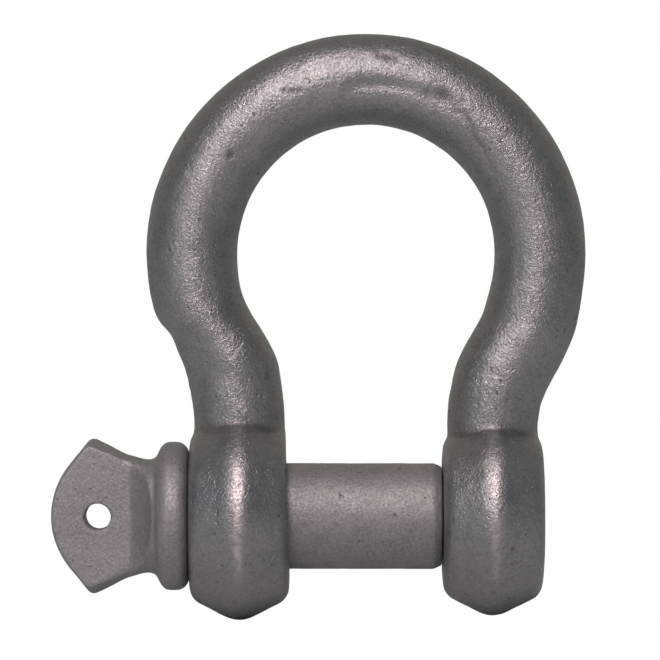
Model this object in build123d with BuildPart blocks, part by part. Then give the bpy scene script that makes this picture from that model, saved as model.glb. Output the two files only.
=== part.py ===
from build123d import *
from math import acos, cos, degrees, radians, sin, tan
import os

os.makedirs("parts", exist_ok=True)

# Galvanised bow shackle with a screw pin, nominal size 19 mm (3/4 inch).
# The X axis is the pin's axis, with the pin's head towards -X and the crown of the bow towards +Z.
# The origin is on the pin's axis, midway between the two eyes. All sizes are in millimetres.

# Bow: the centre line of its round stock
stock_radius = 9.65
crown_radius = 36.9
crown_height = 55.7
throat_radius = 33.7

# Eyes: bodies of revolution about the pin's axis, whose rims rise to a rounded ridge
eye_spacing = 26.8
eye_thickness = 21.1
eye_flank_slope = 27
eye_corner_rounding = 4
ridge_rounding = 6.5
left_ridge_radius = 22.0
right_ridge_radius = 21.1

# Pin: shank, with a shoulder that stops just short of the threaded eye
shank_radius = 11.2
shoulder_gap = 0.25
shoulder_chamfer_length = 1.7
shoulder_chamfer_depth = 0.7
clear_bore_radius = 12.0
bore_lead_in = 0.8

# Pin: collar and neck
collar_gap = 0.1
collar_radius = 15.7
collar_thickness = 5.9
collar_draft = 1.05
collar_rounding = 2.7
neck_radius = 11.95
neck_fillet = 0.8

# Pin: spade head, drafted from the outline at its parting plane to its flat faces
tab_reach = 66.8
tab_tip_angle = 39
tab_tip_radius = 17.2
tab_corner_height = 16.9
tab_edge_slope = 26
tab_root_height = 11.7
tab_thickness = 9.6
tab_corner_rounding = 1.6
flat_tip_radius = 16.7
flat_corner_height = 15.1
flat_edge_slope = 20.5
flat_root_height = 10.5
flat_end = -49.8
scoop_end = -45.1
scoop_hollow = 0.8
flare_radius = 13.0
flare_end = -46.8
tab_root = -46.0
eyelet_radius = 2.8
eyelet_centre = -56.7

# Thread: 3/4-10 UNC form, right-handed, cut with room for the zinc
thread_pitch = 2.54
flank_angle = 30
male_crest_radius = 9.4
male_root_radius = 7.9
male_crest_width = 0.36
relief_radius = 7.6
relief_length = 2.6
thread_start_chamfer = 0.9
pin_end_recess = 0.35
pin_end_chamfer = 1.8
groove_run_in = 1.3
groove_angle = 100
groove_turns = 8.2
tap_angle = 310
tap_turns = 9.9
female_crest_radius = 8.35
female_root_radius = 9.75
flank_clearance = 0.17
tap_lead_in = 1.2
cutter_overrun = 0.1

# Heart of the pin: a plain cylinder sealed inside the shank
core_radius = 6.0
core_start = -30
core_end = 8
core_clearance = 0.1

# Sizes that follow from the ones above
bend_angle = degrees(acos((eye_spacing + throat_radius) / (crown_radius + throat_radius)))
throat_foot = crown_height - (crown_radius + throat_radius) * sin(radians(bend_angle))
eye_inner = eye_spacing - eye_thickness / 2
eye_outer = eye_spacing + eye_thickness / 2
shoulder = eye_inner - shoulder_gap
thread_start = shoulder + relief_length
groove_start = thread_start - groove_run_in
# the eye's groove is half a pitch from the pin's, so that it holds the pin's ridge
tap_start = groove_start + thread_pitch * ((tap_angle - groove_angle) / 360 + 1 / 2 - 2)
pin_end = eye_outer - pin_end_recess
collar_face = -eye_outer - collar_gap
collar_back = collar_face - collar_thickness
core_length = core_end - core_start


def eye(side, ridge_radius):
    """Add one eye to the bow, on the side given as -1 or 1."""
    slope = tan(radians(eye_flank_slope))
    apex = ridge_radius + ridge_rounding * (1 / cos(radians(eye_flank_slope)) - 1)
    middle = side * eye_spacing
    half = eye_thickness / 2
    corner = apex - half * slope
    with BuildSketch(Plane.XZ) as half_section:
        with BuildLine():
            Polyline(
                (middle - half, 0),
                (middle - half, corner),
                (middle, apex),
                (middle + half, corner),
                (middle + half, 0),
                close=True,
            )
        make_face()
        fillet(half_section.vertices().group_by(Axis.Y)[1], eye_corner_rounding)
        fillet(half_section.vertices().group_by(Axis.Y)[-1], ridge_rounding)
    revolve(half_section.sketch, axis=Axis.X)


def bore(start, end, radius, lead_in):
    """Cut a hole along the pin's axis, countersunk at both of its mouths."""
    with BuildSketch(Plane.XZ) as half_section:
        with BuildLine():
            Polyline(
                (start, 0),
                (start, radius + lead_in),
                (start + lead_in, radius),
                (end - lead_in, radius),
                (end, radius + lead_in),
                (end, 0),
                close=True,
            )
        make_face()
    revolve(half_section.sketch, axis=Axis.X, mode=Mode.SUBTRACT)


def ridge_width(radius):
    """Width along the axis of the pin's thread ridge at a radius."""
    return male_crest_width + 2 * (male_crest_radius - radius) * tan(radians(flank_angle))


def cut_thread(start, angle, turns, inner, inner_width, outer, outer_width):
    """Cut a right-handed helical groove between two radii, with its width at each."""
    with BuildLine() as path:
        Helix(thread_pitch, turns * thread_pitch, outer, (start, 0, 0), (1, 0, 0))
    helix = path.line.rotate(Axis.X, angle)
    along = Vector(1, 0, 0)
    outward = helix @ 0 - Vector(start, 0, 0)
    with BuildSketch(Plane((start, 0, 0), x_dir=along, z_dir=along.cross(outward))) as section:
        with BuildLine():
            Polyline(
                (-inner_width / 2, inner),
                (-outer_width / 2, outer),
                (outer_width / 2, outer),
                (inner_width / 2, inner),
                close=True,
            )
        make_face()
    sweep(section.sketch, path=helix, is_frenet=True, mode=Mode.SUBTRACT)


def tab_face(tip_radius, corner_height, edge_slope, root_height):
    """Draw the spade head's outline, from its round tip to its root in the neck."""
    tip_angle = radians(tab_tip_angle)
    centre = tab_tip_radius - tab_reach
    tip_end = (centre - tip_radius * cos(tip_angle), tip_radius * sin(tip_angle))
    corner_x = centre - (tip_radius - corner_height * sin(tip_angle)) / cos(tip_angle)
    edge_end = corner_x + (corner_height - root_height) / tan(radians(edge_slope))
    with BuildLine() as outline:
        CenterArc((centre, 0), tip_radius, 180 - tab_tip_angle, 2 * tab_tip_angle)
        for side in (1, -1):
            Polyline(
                (tip_end[0], side * tip_end[1]),
                (corner_x, side * corner_height),
                (edge_end, side * root_height),
                (tab_root, side * root_height),
                (tab_root, 0),
            )
    make_face(outline.edges())


with BuildPart() as bow:
    with BuildLine(Plane.XZ):
        Line((-eye_spacing, 0), (-eye_spacing, throat_foot))
        CenterArc((-eye_spacing - throat_radius, throat_foot), throat_radius, 0, bend_angle)
        CenterArc((0, crown_height), crown_radius, -bend_angle, 180 + 2 * bend_angle)
        CenterArc((eye_spacing + throat_radius, throat_foot), throat_radius, 180, -bend_angle)
        Line((eye_spacing, throat_foot), (eye_spacing, 0))
    with BuildSketch(Plane.XY):
        with Locations((-eye_spacing, 0)):
            Circle(stock_radius)
    sweep()
    eye(-1, left_ridge_radius)
    eye(1, right_ridge_radius)
    bore(-eye_outer, -eye_inner, clear_bore_radius, bore_lead_in)
    bore(eye_inner, eye_outer, female_crest_radius, tap_lead_in)
    cut_thread(
        tap_start,
        tap_angle,
        tap_turns,
        female_crest_radius - cutter_overrun,
        ridge_width(female_crest_radius - cutter_overrun) + 2 * flank_clearance,
        female_root_radius,
        ridge_width(female_root_radius) + 2 * flank_clearance,
    )
bow.part.label = "bow"
export_step(bow.part, "parts/bow.step")

with BuildPart() as screw_pin:
    # the neck scooped out above and below the spade head's flat faces
    with BuildSketch(Plane.XY):
        with BuildLine():
            Line((flat_end, -tab_thickness / 2), (flat_end, tab_thickness / 2))
            scoop = SagittaArc(
                (flat_end, tab_thickness / 2), (scoop_end, neck_radius), -scoop_hollow
            )
            mirror(scoop, about=Plane.XZ)
            Line((scoop_end, -neck_radius), (scoop_end, neck_radius))
        make_face()
    extrude(amount=flare_radius, both=True)
    with BuildSketch(Plane.XZ):
        with BuildLine():
            Polyline(
                (flat_end, 0),
                (flat_end, flare_radius),
                (flare_end, neck_radius),
                (scoop_end, neck_radius),
                (scoop_end, 0),
                close=True,
            )
        make_face()
    revolve(axis=Axis.X, mode=Mode.INTERSECT)

    # the spade head, drafted both ways from its parting plane
    for side in (-1, 1):
        with BuildSketch(Plane.XZ) as parting_face:
            tab_face(tab_tip_radius, tab_corner_height, tab_edge_slope, tab_root_height)
            fillet(parting_face.vertices().group_by(Axis.X)[1], tab_corner_rounding)
        with BuildSketch(Plane.XZ.offset(side * tab_thickness / 2)) as flat_face:
            tab_face(flat_tip_radius, flat_corner_height, flat_edge_slope, flat_root_height)
            fillet(flat_face.vertices().group_by(Axis.X)[1], tab_corner_rounding)
        loft(ruled=True)

    # neck, collar, shank and the blank for the thread
    with BuildSketch(Plane.XZ) as half_section:
        with BuildLine():
            Polyline(
                (scoop_end, 0),
                (scoop_end, neck_radius),
                (collar_back - collar_draft, neck_radius),
                (collar_back, collar_radius),
                (collar_face, collar_radius),
                (collar_face, shank_radius),
                (shoulder - shoulder_chamfer_length, shank_radius),
                (shoulder, shank_radius - shoulder_chamfer_depth),
                (shoulder, relief_radius),
                (thread_start, relief_radius),
                (thread_start + thread_start_chamfer, male_crest_radius),
                (pin_end - pin_end_chamfer, male_crest_radius),
                (pin_end, male_crest_radius - pin_end_chamfer),
                (pin_end, 0),
                close=True,
            )
        make_face()
        collar_foot = half_section.vertices().group_by(Axis.Y)[-2].sort_by(Axis.X)[-1]
        fillet(collar_foot, neck_fillet)
        fillet(half_section.vertices().group_by(Axis.Y)[-1], collar_rounding)
    revolve(axis=Axis.X)
    cut_thread(
        groove_start,
        groove_angle,
        groove_turns,
        male_root_radius,
        thread_pitch - ridge_width(male_root_radius),
        male_crest_radius + cutter_overrun,
        thread_pitch - ridge_width(male_crest_radius + cutter_overrun),
    )

    # the hole in the spade head, and the sealed space for the heart
    with BuildSketch(Plane.XZ):
        with Locations((eyelet_centre, 0)):
            Circle(eyelet_radius)
    extrude(amount=tab_thickness, both=True, mode=Mode.SUBTRACT)
    with BuildSketch(Plane.YZ.offset(core_start - core_clearance)):
        Circle(core_radius + core_clearance)
    extrude(amount=core_length + 2 * core_clearance, mode=Mode.SUBTRACT)
screw_pin.part.label = "screw_pin"
export_step(screw_pin.part, "parts/screw_pin.step")

with BuildPart() as pin_core:
    with BuildSketch(Plane.YZ.offset(core_start)):
        Circle(core_radius)
    extrude(amount=core_length)
pin_core.part.label = "pin_core"
export_step(pin_core.part, "parts/pin_core.step")
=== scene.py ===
import math
from itertools import product

import bmesh
import bpy
import numpy as np
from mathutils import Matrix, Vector


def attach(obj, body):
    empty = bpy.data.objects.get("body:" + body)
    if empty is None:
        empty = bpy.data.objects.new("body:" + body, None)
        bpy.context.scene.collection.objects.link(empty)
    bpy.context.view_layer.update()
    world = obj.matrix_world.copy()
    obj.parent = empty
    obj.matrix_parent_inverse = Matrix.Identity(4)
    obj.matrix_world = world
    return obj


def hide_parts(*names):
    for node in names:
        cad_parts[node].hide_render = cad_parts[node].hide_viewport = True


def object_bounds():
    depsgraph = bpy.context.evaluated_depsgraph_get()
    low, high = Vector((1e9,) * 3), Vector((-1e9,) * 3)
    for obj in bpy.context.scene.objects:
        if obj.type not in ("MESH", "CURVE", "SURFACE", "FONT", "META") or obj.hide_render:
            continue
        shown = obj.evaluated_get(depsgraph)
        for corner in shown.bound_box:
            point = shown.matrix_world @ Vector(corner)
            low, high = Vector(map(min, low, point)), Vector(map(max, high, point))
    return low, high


# Galvanised bow shackle. X is the pin's axis, with its head towards -X; Z is up to the crown, and -Y
# is the front. The CAD frame is in metres; the skins are shaped in millimetres and scaled back.
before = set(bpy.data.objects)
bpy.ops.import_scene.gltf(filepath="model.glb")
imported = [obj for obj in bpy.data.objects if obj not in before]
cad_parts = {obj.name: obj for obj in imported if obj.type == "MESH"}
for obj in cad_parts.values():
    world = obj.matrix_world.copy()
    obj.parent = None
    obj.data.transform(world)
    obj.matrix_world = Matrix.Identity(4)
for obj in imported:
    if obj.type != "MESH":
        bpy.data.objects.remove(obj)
cad_low, cad_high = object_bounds()
MM = 1000.0

# centre line of the bow's round bar, and its eyes, as the CAD has them
BAR_RADIUS = 9.65
CROWN_RADIUS = 36.9
CROWN_HEIGHT = 55.7
THROAT_RADIUS = 33.7
EYE_X = 26.8
EYE_HALF = 10.55
BEND = math.acos((EYE_X + THROAT_RADIUS) / (CROWN_RADIUS + THROAT_RADIUS))
THROAT_FOOT = CROWN_HEIGHT - (CROWN_RADIUS + THROAT_RADIUS) * math.sin(BEND)

# places on the pin: its shank, the hole in its head, the middle of its relief groove, and the space
# sealed inside it, with a little room
SHANK_RADIUS = 11.2
EYELET_X = -56.7
RELIEF_X = 17.3
HEART_START, HEART_END, HEART_RADIUS = -30.3, 8.3, 6.3

# size of the quads that the skins are remade from
BOW_VOXEL = 0.5
PIN_VOXEL = 0.36


# ---------------------------------------------------------------- surfaces

def hashed(cell, seed):
    """A repeatable number from 0 to 1 for each whole-number cell."""
    h = (cell[:, 0].astype(np.uint32) * np.uint32(374761393)
         + cell[:, 1].astype(np.uint32) * np.uint32(668265263)
         + cell[:, 2].astype(np.uint32) * np.uint32(2147483647)
         + np.uint32(seed * 2654435 + 12345))
    h = (h ^ (h >> np.uint32(13))) * np.uint32(1274126177)
    h = (h ^ (h >> np.uint32(16))) * np.uint32(2246822519)
    return (h ^ (h >> np.uint32(15))).astype(np.float64) / 4294967295.0


def noise(points, size, seed):
    """Smooth noise, about -1 to 1, whose lumps are about size across."""
    q = points / size + seed * 7.31
    cell = np.floor(q).astype(np.int64)
    f = q - cell
    w = f * f * f * (f * (f * 6 - 15) + 10)
    total = np.zeros(len(points))
    for corner in product((0, 1), repeat=3):
        c = cell + corner
        share = np.prod([w[:, i] if corner[i] else 1 - w[:, i] for i in range(3)], axis=0)
        slope = sum((hashed(c, seed * 3 + i) * 2 - 1) * (f[:, i] - corner[i]) for i in range(3))
        total += share * slope
    return total * 1.6


def bumps(points, layers):
    """Noises on top of each other, from layers of (height, size, seed)."""
    return sum(height * noise(points, size, seed) for height, size, seed in layers)


def smoothstep(low, high, value):
    """0 at low, 1 at high and beyond; low may be the greater of the two."""
    t = np.clip((value - low) / (high - low), 0, 1)
    return t * t * (3 - 2 * t)


def bell(value, middle, width):
    """1 at the middle, falling off to next to nothing two widths away."""
    return np.exp(-((value - middle) / width) ** 2)


def placed(name, data):
    """A new object in the scene."""
    obj = bpy.data.objects.new(name, data)
    bpy.context.scene.collection.objects.link(obj)
    return obj


def cad_mesh(node, keep=lambda centre: True):
    """The faces of a CAD node whose middles pass keep, welded, in millimetres."""
    bm = bmesh.new()
    bm.from_mesh(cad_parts[node].data)
    bmesh.ops.scale(bm, vec=(MM, MM, MM), verts=bm.verts)
    bmesh.ops.remove_doubles(bm, verts=bm.verts, dist=1e-4)
    drop = [f for f in bm.faces if not keep(f.calc_center_median())]
    bmesh.ops.delete(bm, geom=drop, context="FACES")
    return bm


def cut_at(bm, x, keep_low):
    """Cuts a closed mesh at a plane across X, keeps one side and leaves it open there."""
    geom = [*bm.verts, *bm.edges, *bm.faces]
    bmesh.ops.bisect_plane(
        bm, geom=geom, dist=1e-5, plane_co=(x, 0, 0), plane_no=(1, 0, 0),
        clear_outer=keep_low, clear_inner=not keep_low)


def remeshed(bm, voxel):
    """The closed mesh as an even skin of small quads."""
    mesh = bpy.data.meshes.new("work")
    bm.to_mesh(mesh)
    bm.free()
    obj = placed("work", mesh)
    remesh = obj.modifiers.new("remesh", "REMESH")
    remesh.mode = "VOXEL"
    remesh.voxel_size = voxel
    remesh.adaptivity = 0
    evaluated = obj.evaluated_get(bpy.context.evaluated_depsgraph_get())
    result = bpy.data.meshes.new_from_object(evaluated)
    bpy.data.objects.remove(obj)
    bpy.data.meshes.remove(mesh)
    return result


def read_vectors(mesh, key):
    """One of the mesh's per-point vectors as rows of three numbers."""
    flat = np.zeros(len(mesh.vertices) * 3)
    mesh.vertices.foreach_get(key, flat)
    return flat.reshape(-1, 3)


class Skin:
    """A mesh's points and edges as arrays, for shaping."""

    def __init__(self, mesh):
        self.mesh = mesh
        self.points = read_vectors(mesh, "co")
        edges = np.zeros(len(mesh.edges) * 2, np.int64)
        mesh.edges.foreach_get("vertices", edges)
        self.edges = edges.reshape(-1, 2)
        self.degree = np.bincount(edges, minlength=len(self.points))

    def store(self):
        self.mesh.vertices.foreach_set("co", self.points.ravel())
        self.mesh.update()

    def normals(self):
        self.store()
        return read_vectors(self.mesh, "normal")

    def around(self, values):
        """The mean of each point's neighbours."""
        a, b = self.edges.T
        count = len(values)
        return (np.bincount(a, values[b], count) + np.bincount(b, values[a], count)) / self.degree

    def neighbours_middle(self):
        return np.stack([self.around(column) for column in self.points.T], axis=1)

    def relax(self, weight, rounds):
        """Moves each point towards its neighbours' middle, by its weight."""
        for _ in range(rounds):
            self.points += weight[:, None] * (self.neighbours_middle() - self.points)

    def hollow(self):
        """How deep each point lies below its neighbours, in millimetres: the creases."""
        deeper = self.neighbours_middle() - self.points
        return self.around(np.sum(deeper * self.normals(), axis=1))


def along_bow(points):
    """For each point: distance along the bar from the crown, distance outwards from the bar's
    centre line in the bow's plane, and which side of the bow it is on."""
    side = np.where(points[:, 0] < 0, -1.0, 1.0)
    x, z = np.abs(points[:, 0]), points[:, 2]
    turn = np.arctan2(z - CROWN_HEIGHT, x)
    s_crown = CROWN_RADIUS * (math.pi / 2 - turn)
    u_crown = np.hypot(x, z - CROWN_HEIGHT) - CROWN_RADIUS
    s_bend = CROWN_RADIUS * (math.pi / 2 + BEND)
    lean = np.arctan2(z - THROAT_FOOT, EYE_X + THROAT_RADIUS - x)
    s_throat = s_bend + THROAT_RADIUS * (BEND - lean)
    u_throat = THROAT_RADIUS - np.hypot(x - EYE_X - THROAT_RADIUS, z - THROAT_FOOT)
    s_leg = s_bend + THROAT_RADIUS * BEND + THROAT_FOOT - z
    u_leg = x - EYE_X
    s = np.where(turn > -BEND, s_crown, np.where(z > THROAT_FOOT, s_throat, s_leg))
    u = np.where(turn > -BEND, u_crown, np.where(z > THROAT_FOOT, u_throat, u_leg))
    return s, u, side


def set_looks(mesh, flow, **values):
    """Stores what the materials read at each point: the flow coordinate in metres, which the grain
    follows, and values from 0 to 1."""
    layer = mesh.attributes.new("flow", "FLOAT_VECTOR", "POINT")
    layer.data.foreach_set("vector", (np.stack(flow, axis=1) / MM).ravel())
    for name, value in values.items():
        layer = mesh.attributes.new(name, "FLOAT", "POINT")
        layer.data.foreach_set("value", value)


def piece(name, mesh, material, body):
    """Puts a shaped mesh into the scene as a piece, back in metres."""
    mesh.vertices.foreach_set("co", (read_vectors(mesh, "co") / MM).ravel())
    mesh.update()
    mesh.shade_smooth()
    mesh.materials.clear()
    mesh.materials.append(material)
    mesh.name = name
    obj = placed(name, mesh)
    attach(obj, body)
    return obj


# ---------------------------------------------------------------- materials

class Nodes:
    """Short names for building the nodes of a material or of the world."""

    def __init__(self, owner):
        owner.use_nodes = True
        self.tree = owner.node_tree
        self.tree.nodes.clear()

    def add(self, kind, **values):
        node = self.tree.nodes.new(kind)
        for key, value in values.items():
            setattr(node, key, value)
        return node

    def put(self, socket, value):
        """Links a socket to another one, or gives it a value."""
        if isinstance(value, bpy.types.NodeSocket):
            self.tree.links.new(value, socket)
        else:
            socket.default_value = value

    def fill(self, node, values):
        """Puts values into a node's inputs, by name or by number."""
        for key, value in values.items():
            self.put(node.inputs[key], value)
        return node

    def output(self, kind, surface):
        self.fill(self.add(kind), {"Surface": surface})

    def attribute(self, name, output="Fac"):
        return self.add("ShaderNodeAttribute", attribute_name=name).outputs[output]

    def noise(self, vector, scale, detail=2.0, rough=0.5, distortion=0.0):
        node = self.fill(self.add("ShaderNodeTexNoise"), {
            "Vector": vector, "Scale": scale, "Detail": detail,
            "Roughness": rough, "Distortion": distortion})
        return node.outputs["Fac"]

    def ramp(self, value, low, high, to_low=0.0, to_high=1.0):
        """A value's smooth step from low to high."""
        node = self.fill(self.add("ShaderNodeMapRange", interpolation_type="SMOOTHSTEP"), {
            "Value": value, "From Min": low, "From Max": high, "To Min": to_low, "To Max": to_high})
        return node.outputs["Result"]

    def math(self, operation, a, b):
        node = self.fill(self.add("ShaderNodeMath", operation=operation), {0: a, 1: b})
        return node.outputs[0]

    def times(self, a, b):
        return self.math("MULTIPLY", a, b)

    def plus(self, a, b):
        return self.math("ADD", a, b)

    def less(self, a, b):
        return self.math("SUBTRACT", a, b)

    def stretched(self, vector, factors):
        node = self.fill(self.add("ShaderNodeVectorMath", operation="MULTIPLY"), {0: vector, 1: factors})
        return node.outputs[0]

    def mix(self, amount, a, b):
        """A mix of two colours, each given as a socket or as red, green and blue."""
        a, b = (c if isinstance(c, bpy.types.NodeSocket) else (*c, 1) for c in (a, b))
        node = self.fill(self.add("ShaderNodeMix", data_type="RGBA"), {"Factor": amount, 6: a, 7: b})
        return node.outputs[2]

    def bump(self, height, distance, below=None):
        """A bump of full strength, on top of the one below it."""
        node = self.fill(self.add("ShaderNodeBump"), {"Height": height, "Distance": distance, "Strength": 1.0})
        if below is not None:
            self.put(node.inputs["Normal"], below)
        return node.outputs["Normal"]


# colours that the zinc turns to, in red, green and blue
GRIT = (0.12, 0.125, 0.13)
PIT = (0.115, 0.1, 0.095)
CRATER = (0.16, 0.15, 0.145)
# the pink of a painted highlight, laid along the eyes' ridges
PAINTED_HIGHLIGHT = (0.86, 0.77, 0.76)
# the dark that flaws, the bores and thread, and painted shade in the joints' creases turn to
DARK_MARKS_AND_SHADE = (0.075, 0.066, 0.062)
# how much brighter than its light tone its specks are
SPECK_GAIN = (1.3, 1.26, 1.26)
# how far the broad swell of its surface goes up and down, in metres
SWELL = 0.00016


def zinc(name, dark, light, roughness, grain, metal):
    """Hot-dip zinc on a forging: mottled grey between a dark and a light tone, pebbled by grain
    metres, pitted and dull. Its colour also carries a painted highlight along the eyes' ridges, and
    darkening for flaws, for the bores and thread, and painted shade in the joints' creases."""
    material = bpy.data.materials.new(name)
    nodes = Nodes(material)
    place = nodes.add("ShaderNodeTexCoord").outputs["Object"]
    flow = nodes.attribute("flow", "Vector")
    wrinkle, dirt, worn = (nodes.attribute(key) for key in ("wrinkle", "dirt", "worn"))

    broad = nodes.noise(place, 90, 3, 0.55)
    patches = nodes.noise(place, 320, 3, 0.6, 0.4)
    pebble = nodes.noise(place, 1750, 3, 0.62, 0.25)
    fine = nodes.noise(place, 5200, 2, 0.5)
    streaks = nodes.noise(nodes.stretched(flow, (760, 520, 400)), 1.0, 3, 0.62, 0.9)
    speck = nodes.ramp(nodes.noise(place, 1900, 2, 0.6), 0.36, 0.64)
    grit = nodes.ramp(nodes.noise(place, 1300, 3, 0.65), 0.54, 0.72)
    pits = nodes.ramp(nodes.noise(place, 560, 2, 0.5), 0.69, 0.76)
    craters = nodes.ramp(nodes.noise(place, 210, 1, 0.4), 0.72, 0.78)

    tone = nodes.plus(nodes.times(broad, 0.5), nodes.times(patches, 0.5))
    colour = nodes.mix(nodes.ramp(tone, 0.3, 0.7), dark, light)
    bright = tuple(part * gain for part, gain in zip(light, SPECK_GAIN))
    # the last of these lays a painted highlight along the eyes' ridges
    for mask, share, towards in (
            (speck, 0.5, bright), (grit, 0.4, GRIT), (pits, 0.5, PIT), (craters, 0.35, CRATER), (worn, 0.85, PAINTED_HIGHLIGHT)):
        colour = nodes.mix(nodes.times(mask, share), colour, towards)
    # darkened for flaws, the bores and thread, and by painted shade in the joints' creases
    colour = nodes.mix(dirt, colour, DARK_MARKS_AND_SHADE)

    gloss = nodes.ramp(patches, 0.3, 0.7, roughness - 0.03, roughness + 0.04)
    gloss = nodes.less(gloss, nodes.times(speck, 0.1))
    gloss = nodes.plus(gloss, nodes.times(nodes.math("MAXIMUM", pits, dirt), 0.25))

    height = nodes.plus(pebble, nodes.times(fine, 0.2))
    height = nodes.plus(height, nodes.times(nodes.times(streaks, wrinkle), 1.7))
    height = nodes.less(height, nodes.times(pits, 0.8))
    swell = nodes.less(nodes.noise(place, 330, 3, 0.55), nodes.times(craters, 0.12))
    normal = nodes.bump(swell, SWELL, nodes.bump(height, grain))

    shader = nodes.fill(nodes.add("ShaderNodeBsdfPrincipled"), {
        "Base Color": colour, "Roughness": gloss, "Metallic": metal, "Normal": normal})
    nodes.output("ShaderNodeOutputMaterial", shader.outputs["BSDF"])
    return material


# ---------------------------------------------------------------- bow

# where the bar's shoulders stand out from the plain bar or fall short of it:
# side of the bow, outer or inner face, push, height and width
SHOULDERS = (
    (-1, 1, -1.35, 37.6, 3.2),
    (-1, 1, -1.2, 32.5, 4.5),
    (-1, -1, 0.5, 33.0, 5.0),
    (-1, -1, -0.3, 47.0, 5.0),
    (1, 1, 0.95, 30.5, 6.5),
    (1, 1, 0.6, 39.5, 5.0),
    (1, -1, -0.7, 40.5, 5.0),
)
# a lap on the front of the crown, as a broken line of X and Z, where metal folded over
LAP = ((18.6, 85.3), (20.9, 84.6), (21.7, 83.0), (22.9, 79.9), (24.7, 77.4), (26.5, 73.8), (28.0, 67.6))
# pits and a dent on the front of the crown: X, Z, radius and depth
FLAWS = (
    (-17.4, 89.7, 0.45, 0.36),
    (-15.7, 89.5, 0.55, 0.36),
    (-14.0, 89.7, 0.45, 0.3),
    (-28.4, 76.1, 0.75, 0.34),
    (16.3, 88.9, 1.5, 0.28),
    (2.9, 97.3, 0.9, 0.2),
    (4.6, 96.9, 0.8, 0.24),
    (6.2, 96.6, 0.8, 0.18),
)
BOW_BUMPS = ((0.10, 13, 1), (0.055, 5.5, 2), (0.035, 2.6, 3))
# a bore and its countersinks lie within this of the pin's axis
BORE_REACH = 12.9
# the bar runs into the eyes at about this distance from the pin's axis
JOINT_REACH = 19.3
# no joint between bar and eye is lower than this
JOINT_FOOT = 9
SHOULDER_FOOT = 20
TROUGH_DEPTH = 0.6
LAP_DEPTH = 0.2
LAP_DARKNESS = 0.62
# how dark a flaw is for its depth
FLAW_DARKNESS = 2.1
FACE_LEAN = 0.8
# how much the bores, and a ring round their mouths, are darkened
BORE_DARKENING = 0.45
# how dark the painted shade in the creases where bar meets eye is
CREASE_SHADE = 0.75


def from_line(points, line):
    """Distance of each point from a broken line of X and Z, seen from the front."""
    flat = points[:, [0, 2]]
    best = np.full(len(points), np.inf)
    for start, end in zip(line[:-1], line[1:]):
        start, along = np.array(start), np.subtract(end, start)
        share = np.clip(((flat - start) @ along) / (along @ along), 0, 1)
        best = np.minimum(best, np.linalg.norm(flat - start - share[:, None] * along, axis=1))
    return best


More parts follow.
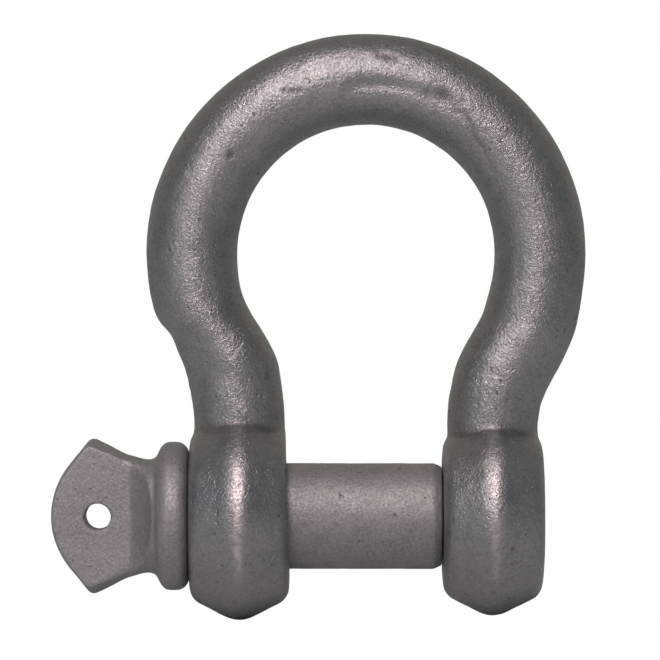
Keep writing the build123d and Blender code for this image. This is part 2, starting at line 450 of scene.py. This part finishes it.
def make_bow():
    """The bow's skin, shaped from the CAD's mesh."""
    skin = Skin(remeshed(cad_mesh("bow"), BOW_VOXEL))
    points = skin.points
    x, y, z = points.T  # these follow the points as they move
    reach = np.hypot(y, z)
    from_eye = np.abs(np.abs(x) - EYE_X)
    in_bore = (from_eye < EYE_HALF + 0.3) & (reach < BORE_REACH)
    s, u, side = along_bow(points)
    left = side < 0
    around = np.arctan2(y, u)

    # the forging's joints between bar and eyes: the left one flows together on both sides of the
    # bar, the right one keeps its line except at the outer edge
    joint = bell(reach, JOINT_REACH, 2.6) * (z > JOINT_FOOT) * (from_eye < 10.2)
    left_flow = smoothstep(-27, -33, x) + smoothstep(-21, -19, x)
    right_flow = smoothstep(32, 34.5, x)
    skin.relax(np.where(in_bore, 0, 0.5 * joint * np.where(left, left_flow, right_flow)), 14)
    skin.relax(np.where(in_bore, 0, 0.4), 5)

    normals = skin.normals()
    # painted shade: the creases where bar and eye meet are found here and darkened in the colour below
    crease = skin.hollow()
    for _ in range(5):
        crease = skin.around(crease)
    at_joint = (z > JOINT_FOOT) & (z < 22) & ~in_bore
    crease = smoothstep(0.003, 0.02, crease) * at_joint * np.where(left, 1.0, 0.8)
    lift = bumps(points, BOW_BUMPS)

    # the left shoulder was pressed flatter and the right one fuller than the plain bar
    for which, face, push, height, width in SHOULDERS:
        facing = smoothstep(-0.3, 0.9, face * np.cos(around))
        lift += push * (side == which) * (z > SHOULDER_FOOT) * facing * bell(z, height, width)

    # wrinkles pressed across the bar where it was bent, in patches
    lengthwise = np.stack([s, np.abs(around) * BAR_RADIUS * 0.3, side * 9], axis=1)
    bent = bell(s, 92, 16) * np.where(left, 1.4, 0.9) + 0.45 * bell(s, 22, 20)
    wrinkle = smoothstep(19, 23, z) * bent * smoothstep(-0.25, 0.35, noise(points, 7, 5))
    lift += wrinkle * (0.10 * noise(lengthwise, 2.1, 4) - 0.03)

    # a shallow trough along the front of the crown, with an uneven lower lip
    ends = np.where(left, smoothstep(7, 1, s), smoothstep(28, 15, s))
    trough = bell(u - 0.9 * noise(points, 9, 8), -1.5, 1.8) * ends * smoothstep(-3, -6, y)
    lift -= TROUGH_DEPTH * trough

    # small flaws on the front of the crown
    front = y < 0
    from_lap = from_line(points, LAP) + 0.3 * np.abs(noise(points, 1.6, 6))
    fade = front * smoothstep(66, 84, z) * (0.75 + 0.25 * noise(points, 2.5, 7))
    lift -= LAP_DEPTH * fade * bell(from_lap, 0, 0.6)
    dark = LAP_DARKNESS * fade * bell(from_lap, 0, 0.5)
    for flaw_x, flaw_z, radius, depth in FLAWS:
        flaw = depth * front * bell(np.hypot(x - flaw_x, z - flaw_z), 0, radius)
        lift -= flaw
        dark += FLAW_DARKNESS * flaw

    # a painted highlight, pink, along the front of each eye's ridge, standing for the light that the ridge catches;
    # it breaks up and fades at its ends
    worn = front * bell(from_eye + 0.25 * noise(points, 6, 9), 0, 0.85)
    worn *= smoothstep(-15, -9, z) * smoothstep(13, 9, z)
    worn *= smoothstep(-0.9, 0.5, noise(points, 1.1, 10)) * np.where(left, 0.8, 0.5)

    # the bores stay plain, and the eyes' flat faces nearly so
    flat_face = smoothstep(EYE_HALF - 1.2, EYE_HALF - 0.2, from_eye) * (reach < 17)
    free = np.where(in_bore, 0.0, 1 - 0.6 * flat_face)
    points += normals * (free * lift)[:, None]

    # the left eye's inner face leans back at the top, flush with the bar
    face_x = EYE_HALF - EYE_X - FACE_LEAN * smoothstep(-14, 14, z)
    proud = left & (z < 24) & (x > face_x)
    x[proud] = face_x[proud]
    skin.store()
    # dark flaws, the bores darkened, and painted shade in the joints' creases
    dirt = np.where(in_bore, BORE_DARKENING, dark + CREASE_SHADE * crease)
    set_looks(
        skin.mesh, (s, around * BAR_RADIUS, u),
        worn=worn, wrinkle=np.clip(wrinkle, 0, 1), dirt=np.clip(dirt, 0, 0.85))
    return skin.mesh


# ---------------------------------------------------------------- pin

PIN_BUMPS = ((0.05, 9, 11), (0.035, 3.6, 12), (0.02, 1.9, 13))
# the skin is shaped up to here, just short of the shoulder
SHAPED_END = 15.5
# the skin and the CAD's thread are cut this far from the middle of the relief groove, then joined
JOIN_GAP = 0.4
# the part of the shank that has faint streaks
STREAKS_START, STREAKS_END = -37, 14
STREAKS = 0.12
# how much the pin's thread is darkened
THREAD_DARKENING = 0.25


def outside_heart(centre):
    """False for the walls of the space sealed inside the shank."""
    return not (HEART_START < centre.x < HEART_END and math.hypot(centre.y, centre.z) < HEART_RADIUS)


def join_thread(mesh):
    """Puts the CAD's own thread on the skin, in place of its remade one."""
    thread = cad_mesh("screw_pin", outside_heart)
    cut_at(thread, RELIEF_X + JOIN_GAP, False)
    thread_mesh = bpy.data.meshes.new("thread")
    thread.to_mesh(thread_mesh)
    thread.free()
    joined = bmesh.new()
    joined.from_mesh(mesh)
    cut_at(joined, RELIEF_X - JOIN_GAP, True)
    joined.from_mesh(thread_mesh)
    bpy.data.meshes.remove(thread_mesh)
    bmesh.ops.bridge_loops(joined, edges=[edge for edge in joined.edges if edge.is_boundary])
    bmesh.ops.recalc_face_normals(joined, faces=joined.faces)
    joined.to_mesh(mesh)
    joined.free()


def make_pin():
    """The pin's skin, shaped from the CAD's mesh except for its thread."""
    skin = Skin(remeshed(cad_mesh("screw_pin", outside_heart), PIN_VOXEL))
    x, y, z = skin.points.T
    from_hole = np.hypot(x - EYELET_X, z)
    # the neck's edges run softly into the head and the collar
    neck = smoothstep(-54, -50.5, x) * smoothstep(-42.5, -43.5, x) * smoothstep(7.5, 9.5, np.abs(z))
    skin.relax(neck * 0.6, 30)
    skin.relax(np.where(from_hole < 3.4, 0.0, 0.3), 2)
    lift = bumps(skin.points, PIN_BUMPS)
    free = (x <= SHAPED_END) * smoothstep(2.9, 3.8, from_hole)
    skin.points += skin.normals() * (free * lift)[:, None]
    skin.store()
    join_thread(skin.mesh)

    x, y, z = Skin(skin.mesh).points.T
    streaked = (x > STREAKS_START) & (x < STREAKS_END)
    set_looks(
        skin.mesh, (x, np.arctan2(y, z) * SHANK_RADIUS, np.hypot(y, z)),
        worn=np.zeros(len(x)), wrinkle=STREAKS * streaked, dirt=THREAD_DARKENING * (x > RELIEF_X))
    return skin.mesh


bow_zinc = zinc("galvanised_bow", (0.255, 0.276, 0.284), (0.335, 0.352, 0.356), 0.4, 0.00017, 0.9)
pin_zinc = zinc("galvanised_pin", (0.255, 0.272, 0.278), (0.34, 0.352, 0.356), 0.6, 0.00011, 0.62)

bow = piece("bow_skin", make_bow(), bow_zinc, "bow")
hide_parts("bow")
pin = piece("pin_skin", make_pin(), pin_zinc, "pin")
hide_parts("screw_pin", "pin_core")


# ---------------------------------------------------------------- floor, light and camera

FLOOR_HALF = 4
FLOOR_GREY = (0.72, 0.76, 0.76)
WHITE = (1, 1, 1)
# the room that the zinc reflects: before it, behind it and above it
ROOM_FRONT = (0.13, 0.143, 0.15)
ROOM_BACK = (0.36, 0.325, 0.30)
ROOM_TOP = (0.2, 0.195, 0.19)
CAMERA_DISTANCE = 0.9
CAMERA_X, CAMERA_Z = -0.00763, 0.03943
# how much of the object's plane the picture takes in
VIEW_WIDTH = 0.13992
SENSOR_WIDTH = 36


def make_floor():
    """A pale floor under the eyes, which the camera sees as plain white."""
    mesh = bpy.data.meshes.new("floor")
    corners = [(-FLOOR_HALF, -FLOOR_HALF, 0), (FLOOR_HALF, -FLOOR_HALF, 0),
               (FLOOR_HALF, FLOOR_HALF, 0), (-FLOOR_HALF, FLOOR_HALF, 0)]
    mesh.from_pydata(corners, [], [(0, 1, 2, 3)])
    floor = placed("floor", mesh)
    floor.location.z = cad_low.z
    pale = bpy.data.materials.new("pale_floor")
    nodes = Nodes(pale)
    seen = nodes.add("ShaderNodeLightPath").outputs["Is Camera Ray"]
    glow = nodes.fill(nodes.add("ShaderNodeEmission"), {"Color": (*WHITE, 1), "Strength": 1.0})
    matt = nodes.fill(nodes.add("ShaderNodeBsdfDiffuse"), {"Color": (*FLOOR_GREY, 1)})
    mixed = nodes.fill(nodes.add("ShaderNodeMixShader"), {0: seen, 1: matt.outputs[0], 2: glow.outputs[0]})
    nodes.output("ShaderNodeOutputMaterial", mixed.outputs[0])
    mesh.materials.append(pale)


def make_room():
    """The surroundings: reflected as a dim room, and seen by the camera as plain white."""
    world = bpy.data.worlds.new("studio")
    bpy.context.scene.world = world
    nodes = Nodes(world)
    look = nodes.add("ShaderNodeSeparateXYZ")
    nodes.put(look.inputs[0], nodes.add("ShaderNodeTexCoord").outputs["Generated"])
    room = nodes.mix(nodes.ramp(look.outputs["Y"], -0.1, 0.6), ROOM_FRONT, ROOM_BACK)
    above = nodes.ramp(look.outputs["Z"], 0.2, 1.0)
    room = nodes.mix(nodes.times(above, 0.5), room, ROOM_TOP)
    seen = nodes.add("ShaderNodeLightPath").outputs["Is Camera Ray"]
    back = nodes.fill(nodes.add("ShaderNodeBackground"), {"Color": nodes.mix(seen, room, WHITE)})
    nodes.output("ShaderNodeOutputWorld", back.outputs[0])


def area_light(name, at, size, power, colour):
    """A rectangular light, turned towards the middle of the object."""
    light = bpy.data.lights.new(name, "AREA")
    light.shape = "RECTANGLE"
    light.size, light.size_y = size
    light.energy = power
    light.color = colour
    obj = placed(name, light)
    obj.location = at
    middle = (cad_low + cad_high) / 2
    obj.rotation_euler = (middle - Vector(at)).to_track_quat("-Z", "Y").to_euler()


def make_camera():
    camera = bpy.data.cameras.new("camera")
    camera.sensor_width = SENSOR_WIDTH
    camera.lens = SENSOR_WIDTH * CAMERA_DISTANCE / VIEW_WIDTH
    camera.clip_start, camera.clip_end = 0.05, 20
    obj = placed("camera", camera)
    obj.location = (CAMERA_X, -CAMERA_DISTANCE, CAMERA_Z)
    obj.rotation_euler = (math.pi / 2, 0, 0)
    bpy.context.scene.camera = obj


make_floor()
make_room()
area_light("key", (-0.13, -0.75, 0.62), (0.2, 0.85), 5.6, (1.0, 0.81, 0.82))
area_light("fill", (-0.55, -0.65, 0.10), (0.5, 0.8), 0.5, (0.97, 0.98, 1.0))
make_camera()
bpy.context.scene.view_settings.view_transform = "Standard"
